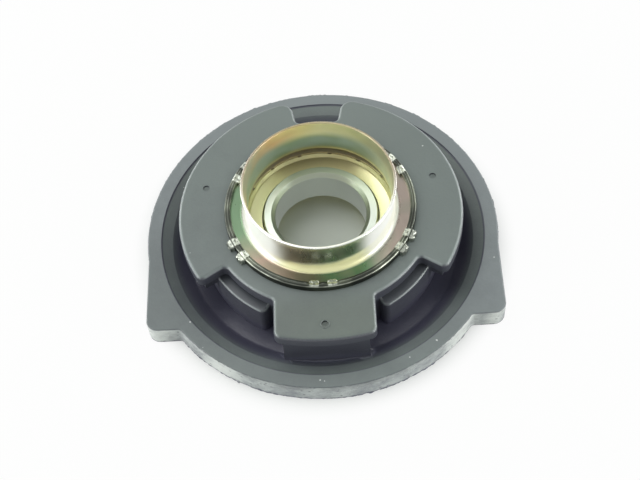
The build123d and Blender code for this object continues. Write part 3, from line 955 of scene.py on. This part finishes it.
@dataclass
class Cushion:
    """Rubber moulding: the moulded body, the ragged flash left on its rim, and a mould mark."""

    finishes: Finishes
    rim_r: float = 58.6
    foot_z: float = -12.0
    top_z: float = -4.0
    pad_z: float = 8.8
    flat_deg: float = 0.4
    arcs: tuple[Span, ...] = ((-142.0, 104.0), (-7.5, 195.0))
    step_deg: float = 0.5
    fin_depth: float = 0.9
    fin_height: float = 0.8
    fin_inset: float = 0.08
    fin_rounding: float = 0.1
    crown_drop: float = 0.15
    torn_w: float = 0.5
    lumps: tuple[Triple, ...] = (
        (-72.0, -11.2, 0.85), (-119.5, -11.3, 0.9), (-113.5, -11.4, 0.75), (-62.0, -11.5, 0.5),
        (-14.0, -4.9, 0.8), (-135.0, -11.4, 0.6), (40.0, -4.8, 0.55), (152.0, -4.9, 0.6),
    )
    lump_sunk: float = 0.7
    mark_at: Span = (0.0, -43.2)
    mark_r: float = 1.35
    mark_foot_w: float = 0.16
    mark_top_w: float = 0.12
    mark_root: float = 0.15
    mark_height: float = 0.16
    mark_wobble: float = 0.22
    mark_steps: int = 72

    def build(self) -> None:
        """Makes the moulding, its flash and its mark."""
        rubber = self.finishes.rubber
        body = merged_node("rubber_cushion")
        bmesh.ops.dissolve_limit(
            body, angle_limit=math.radians(self.flat_deg), use_dissolve_boundaries=False,
            verts=body.verts, edges=body.edges,
        )
        finish_piece(body, "cushion_moulding", rubber, Body.CUSHION, ["rubber_cushion"])
        finish_piece(self.flash(), "cushion_flash", rubber, Body.CUSHION)
        finish_piece(self.mark(), "cushion_mark", rubber, Body.CUSHION)

    def flash(self) -> Any:
        """Torn fins where the mould parted, at the ring's foot and upper edge, with lumps.

        Returns:
            The mesh.
        """
        bm = bmesh.new()
        low, high = self.rim_r - self.fin_depth, self.rim_r - self.fin_inset
        foot_z, tall, rounding = self.foot_z, self.fin_height, self.fin_rounding
        crown_z = self.top_z - self.crown_drop
        foot: Profile = [
            (low, foot_z, 0.0),
            (high, foot_z, rounding),
            (high, foot_z + tall * 0.5, rounding),
            (low, foot_z + tall, 0.0),
        ]
        crown: Profile = [
            (low, self.top_z - tall, 0.0),
            (high, self.top_z - tall * 0.6, rounding),
            (high - 0.1, crown_z, rounding),
            (low, crown_z, 0.0),
        ]
        for start, sweep in self.arcs:
            for fin in (foot, crown):
                absorb(bm, turned(fin, round(sweep / self.step_deg), sweep, start))
        for vert in bm.verts:
            self._tear(vert)
        for angle, height, size in self.lumps:
            self._lump(bm, angle, height, size)
        return bm

    def _lump(self, bm: Any, angle: float, height: float, size: float) -> None:
        """Adds one lump to the flash.

        Args:
            bm: Mesh of the flash.
            angle: Where it is round the rim, in degrees.
            height: Height of its middle.
            size: Its radius.
        """
        made = bmesh.ops.create_icosphere(bm, subdivisions=3, radius=size)["verts"]
        for vert in made:
            vert.co *= 1.0 + 0.3 * grain(vert.co, 0.6, angle)
        middle = polar(self.rim_r - size * self.lump_sunk, angle, height)
        bmesh.ops.translate(bm, verts=made, vec=middle)
        for vert in made:
            self._keep_in(vert)

    def _tear(self, vert: Any) -> None:
        """Moves one point of a fin in or out, and keeps it inside the part's box.

        Args:
            vert: Point of the fin, moved here.
        """
        radius = math.hypot(vert.co.x, vert.co.y)
        if radius > self.rim_r - self.torn_w:
            push = 0.28 * grain(vert.co, 4.0, 3.0) + 0.3 * grain(vert.co, 0.9, 9.0)
            away = Vector((vert.co.x, vert.co.y, 0.0)) / radius
            vert.co += away * push
            vert.co.z += 0.25 * grain(vert.co, 1.6, 5.0)
        self._keep_in(vert)

    def _keep_in(self, vert: Any) -> None:
        """Clamps a point to the part's box.

        Args:
            vert: Point of the flash, moved here.
        """
        vert.co.x = min(self.rim_r, max(-self.rim_r, vert.co.x))
        vert.co.y = min(self.rim_r, max(-self.rim_r, vert.co.y))
        vert.co.z = max(self.foot_z, vert.co.z)

    def mark(self) -> Any:
        """Raised wobbly ring round the mould's mark on the front block.

        Returns:
            The mesh.
        """
        foot_w, top_w = self.mark_foot_w, self.mark_top_w
        bm = turned(
            [
                (self.mark_r - foot_w, -self.mark_root, 0.0),
                (self.mark_r + foot_w, -self.mark_root, 0.0),
                (self.mark_r + top_w, self.mark_height, self.fin_rounding),
                (self.mark_r - top_w, self.mark_height, self.fin_rounding),
            ],
            self.mark_steps,
        )
        for vert in bm.verts:
            vert.co.x *= 1.0 + self.mark_wobble * grain(vert.co, 1.3, 2.0)
            vert.co.y *= 1.0 + self.mark_wobble * grain(vert.co, 1.1, 7.0)
        bmesh.ops.translate(bm, verts=bm.verts, vec=(*self.mark_at, self.pad_z))
        return bm


@dataclass
class CrimpedCup:
    """Pressed cup: shell round the bearing, its mouth rolled and staked over the flange."""

    finishes: Finishes
    lip_r: float = 24.5
    bearing_r: float = 27.5
    wall_r: float = 29.1
    roll_r: float = 29.3
    mouth_in_r: float = 29.7
    mouth_r: float = 31.3
    bottom_z: float = -8.9
    seat_z: float = -7.3
    shoulder_z: float = 7.3
    shelf_z: float = 8.9
    flange_z: float = 9.81
    top_z: float = 11.4
    outside_z: tuple[float, ...] = (8.3, 8.9, 9.6)
    across_r: tuple[float, ...] = (30.28, 30.08, 29.88)
    inside_z: tuple[float, ...] = (10.7, 10.3)
    steps: int = 720
    struck_above: float = 0.5
    pair_deg: float = 60.0
    spread_deg: float = 5.45
    inner_r: float = 30.5
    tab_half_w: float = 1.45
    tab_reach: float = 0.95
    tab_drop: float = 0.55
    punch_r: float = 30.0
    punch_w: float = 0.3
    crease_off: float = 0.45
    crease_w: float = 0.22
    crease_drop: float = 0.28
    lug_pairs: tuple[int, ...] = (1, 5)
    lug_tab_share: float = 0.35
    lug_half_w: float = 1.6
    lug_reach: float = 1.75
    lug_r: Span = (30.3, 31.2)
    lug_z: Span = (8.0, 8.8)

    def build(self) -> None:
        """Makes the cup."""
        bm = turned(self.section(), self.steps)
        for vert in bm.verts:
            if vert.co.z > self.shoulder_z + self.struck_above:
                self._strike(vert)
        finish_piece(
            bm, "staked_cup", self.finishes.staked, Body.CUSHION, ["bearing_cup"]
        )

    def section(self) -> Profile:
        """Closed section of the cup, with extra points where the mouth is struck.

        Returns:
            The section's corners.
        """
        top = self.top_z
        return [
            (self.lip_r, self.bottom_z, 0.3),
            (self.wall_r, self.bottom_z, 1.2),
            (self.wall_r, self.shoulder_z, 0.2),
            (self.mouth_r, self.shoulder_z, 0.25),
            *((self.mouth_r, z, 0.0) for z in self.outside_z),
            (self.mouth_r, top, 1.0),
            *((r, top, 0.0) for r in self.across_r),
            (self.roll_r, top, 0.4),
            *((self.roll_r, z, 0.0) for z in self.inside_z),
            (self.roll_r, self.flange_z, 0.15),
            (self.mouth_in_r, self.flange_z, 0.0),
            (self.mouth_in_r, self.shelf_z, 0.0),
            (self.bearing_r, self.shelf_z, 0.2),
            (self.bearing_r, self.seat_z, 0.0),
            (self.lip_r, self.seat_z, 0.2),
        ]

    def _strike(self, vert: Any) -> None:
        """Presses one point of the mouth as the staking tools did.

        Args:
            vert: Point of the mouth, moved here.
        """
        place = vert.co.copy()
        radius = math.hypot(place.x, place.y)
        turn = (math.degrees(math.atan2(place.y, place.x)) + 90.0) % FULL_TURN
        pair = round(turn / self.pair_deg)
        swing = abs(turn - pair * self.pair_deg) - self.spread_deg
        side = abs(radius * math.radians(swing))
        height = (place.z - self.flange_z) / (self.top_z - self.flange_z)
        above = min(1.0, max(0.0, height))
        fine, broad = grain(place, 0.7, 4.0), grain(place, 2.4, 1.0)
        lugged = pair % 6 in self.lug_pairs
        tab_out, tab_up = self._tab(radius, side, fine, lugged)
        lug_out, lug_up = self._lug(place.z, radius, side, fine) if lugged else (0.0, 0.0)
        new_radius = radius + 0.05 * broad + tab_out + lug_out
        new_z = place.z + above * (0.06 * broad + tab_up + lug_up)
        vert.co.x, vert.co.y = place.x / radius * new_radius, place.y / radius * new_radius
        vert.co.z = max(new_z, min(place.z, self.flange_z))

    def _tab(self, radius: float, side: float, fine: float, lugged: bool) -> tuple[float, float]:
        """Tab pressed in over the flange, with the tool's punch and a crease beside it.

        Args:
            radius: Radius of the point.
            side: Distance of the point from the stake's middle.
            fine: Noise at the point.
            lugged: Whether the stake has a lug, which leaves a shorter tab.

        Returns:
            Move outward, and move upward at the crown.
        """
        on_tab = ramp(side, self.tab_half_w + 0.35, self.tab_half_w - 0.25)
        inner = ramp(radius, self.inner_r, self.roll_r + 0.05)
        reach = self.tab_reach * (self.lug_tab_share if lugged else 1.0)
        punch = bell(radius, self.punch_r, self.punch_w) * (0.32 + 0.22 * fine)
        crease = bell(side, self.tab_half_w + self.crease_off, self.crease_w) * self.crease_drop
        drop = on_tab * (inner * self.tab_drop * (0.8 + 0.7 * fine) + punch) + crease * inner
        return -on_tab * inner * reach * (0.85 + 0.35 * fine), -drop

    def _lug(self, z: float, radius: float, side: float, fine: float) -> tuple[float, float]:
        """Lug pushed out of the mouth.

        Args:
            z: Height of the point.
            radius: Radius of the point.
            side: Distance of the point from the stake's middle.
            fine: Noise at the point.

        Returns:
            Move outward, and move upward at the crown.
        """
        on_lug = ramp(side, self.lug_half_w + 0.3, self.lug_half_w - 0.3)
        on_lug *= ramp(radius, *self.lug_r)
        out = on_lug * ramp(z, *self.lug_z) * self.lug_reach * (0.85 + 0.3 * fine)
        return out, on_lug * (0.12 * fine - 0.25)


@dataclass
class Metalwork:
    """Carried-over metal nodes, each given its finish."""

    finishes: Finishes

    def dress(self) -> None:
        """Assigns a finish to every metal node."""
        f = self.finishes
        plan = {
            "tall_collar": f.zinc,
            "short_collar": f.zinc,
            "outer_race": f.outer,
            "inner_race": f.race,
            "cage_upper": f.cage,
            "cage_lower": f.cage,
            "cage_rivets": f.cage,
            "upper_shield": f.shield,
            "lower_shield": f.shield,
        }
        plan.update({name: f.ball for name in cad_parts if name.startswith("ball_")})
        for name, material in plan.items():
            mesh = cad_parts[name].data
            mesh.materials.clear()
            mesh.materials.append(material)
            log.info("%s: %s", name, material.name)


@dataclass(frozen=True)
class Lamp:
    """Oblong area lamp that faces the bore's middle, sizes in millimetres and power in watts."""

    name: str
    place: Triple
    size: Span
    watts: float

    def build(self) -> None:
        """Makes the lamp."""
        data = bpy.data.lights.new(self.name, "AREA")
        data.shape = "RECTANGLE"
        data.energy = self.watts
        data.size = self.size[0] * MM
        data.size_y = self.size[1] * MM
        lamp = bpy.data.objects.new(self.name, data)
        lamp.location = Vector(self.place) * MM
        lamp.rotation_mode = "QUATERNION"
        lamp.rotation_quaternion = (-Vector(self.place)).to_track_quat("-Z", "Y")
        bpy.context.scene.collection.objects.link(lamp)


@dataclass
class Studio:
    """Floor, background, lamps and camera."""

    floor_z: float = -12.0
    floor_size: float = 6000.0
    paper: Colour = (0.68, 0.72, 0.67)
    white: Colour = (1.0, 1.0, 1.0)
    even_light: Colour = (0.96, 0.98, 1.0)
    even_strength: float = 0.45
    room: Colour = (0.97, 1.0, 0.98)
    open_floor_r: Span = (50.0, 66.0)
    open_glow: float = 0.95
    near_glow: float = 0.3
    ceiling: Span = (0.25, 0.7)
    ceiling_grey: float = 0.25
    behind: Span = (-0.15, -0.7)
    behind_grey: float = 0.15
    lamps: tuple[Lamp, ...] = (
        Lamp("window", (-220, 170, 640), (460, 460), 1.7),
        Lamp("panel_left", (-540, -170, 150), (380, 240), 2.0),
        Lamp("panel_right", (540, -200, 150), (380, 240), 2.1),
        Lamp("strip_left", (-430, 300, 60), (420, 60), 1.1),
        Lamp("strip_right", (430, 300, 60), (420, 60), 1.1),
    )
    focal_px: float = 1300.0
    image_px: float = 640.0
    sensor: float = 36.0
    clip: Span = (0.01, 20.0)
    target: Triple = (-1.014, -3.766, -4.0)
    distance: float = 432.83
    elevation: float = 56.78
    roll: float = -5.14
    turn: float = 2.35

    def build(self) -> None:
        """Makes the whole studio."""
        self.floor()
        self.world()
        for lamp in self.lamps:
            lamp.build()
        self.camera()

    def floor(self) -> None:
        """White floor that keeps the shadow; clear from below, where it lights the hidden side."""
        bm = bmesh.new()
        bmesh.ops.create_grid(bm, x_segments=1, y_segments=1, size=self.floor_size / 2)
        bmesh.ops.translate(bm, verts=bm.verts, vec=(0, 0, self.floor_z))
        floor = new_object(bm, "floor", self._floor_paper())

    def _floor_paper(self) -> Any:
        """Makes the floor's material.

        Returns:
            The material.
        """
        material, g = new_material("floor_paper", self.white)
        open_floor = g.radius.step(*self.open_floor_r)
        glossy = g.ray(Ray.GLOSSY)
        near = g.ray(Ray.DIFFUSE).most(glossy) * (1 - open_floor) * self.near_glow
        share = g.ray(Ray.CAMERA).most(glossy) * open_floor * self.open_glow + near
        paper = g.surface(Base_Color=self.paper, Roughness=0.9)
        sheet = g.blend(share, paper, g.glow("ShaderNodeEmission", self.white))
        below = g.node("ShaderNodeNewGeometry", {}, {}, "Backfacing")
        g.finish(g.blend(below, sheet, g.node("ShaderNodeBsdfTransparent", {}, {})))
        return material

    def world(self) -> None:
        """White for the camera; for metal a white horizon under a greyer ceiling; even light."""
        world = bpy.data.worlds.new("studio")
        bpy.context.scene.world = world
        world.use_nodes = True
        g = Graph(world.node_tree)
        _, depth, rise = g.split(g.node("ShaderNodeTexCoord", {}, {}, "Generated"))
        ceiling = rise.step(*self.ceiling) * self.ceiling_grey
        level = 1.0 - ceiling - depth.step(*self.behind) * self.behind_grey
        light = g.glow("ShaderNodeBackground", self.even_light, self.even_strength)
        room = g.glow("ShaderNodeBackground", self.room, level)
        white = g.glow("ShaderNodeBackground", self.white)
        lit = g.blend(g.ray(Ray.GLOSSY), light, room)
        g.finish(g.blend(g.ray(Ray.CAMERA), lit, white), "ShaderNodeOutputWorld")

    def camera(self) -> None:
        """Camera fitted to the photograph."""
        data = bpy.data.cameras.new("camera")
        data.sensor_width = self.sensor
        data.lens = self.sensor * self.focal_px / self.image_px
        data.clip_start, data.clip_end = self.clip
        camera = bpy.data.objects.new("camera", data)
        rising, roll = math.radians(self.elevation), math.radians(self.roll)
        level = Vector((1, 0, 0))
        rise = Vector((0, math.sin(rising), math.cos(rising)))
        back = Vector((0, -math.cos(rising), math.sin(rising)))
        right = level * math.cos(roll) + rise * math.sin(roll)
        up = rise * math.cos(roll) - level * math.sin(roll)
        turn = Matrix.Rotation(math.radians(self.turn), 3, "Z")
        axes = Matrix((turn @ right, turn @ up, turn @ back)).transposed()
        camera.rotation_mode = "QUATERNION"
        camera.rotation_quaternion = axes.to_quaternion()
        camera.location = turn @ (Vector(self.target) + back * self.distance) * MM
        bpy.context.scene.collection.objects.link(camera)
        bpy.context.scene.camera = camera


def main() -> None:
    """Builds the bearing's look and the studio."""
    logging.basicConfig(level=logging.INFO)
    bpy.context.scene.view_settings.view_transform = "Standard"
    finishes = Finishes()
    Cushion(finishes).build()
    CrimpedCup(finishes).build()
    Metalwork(finishes).dress()
    Studio().build()


if __name__ == "__main__":
    main()
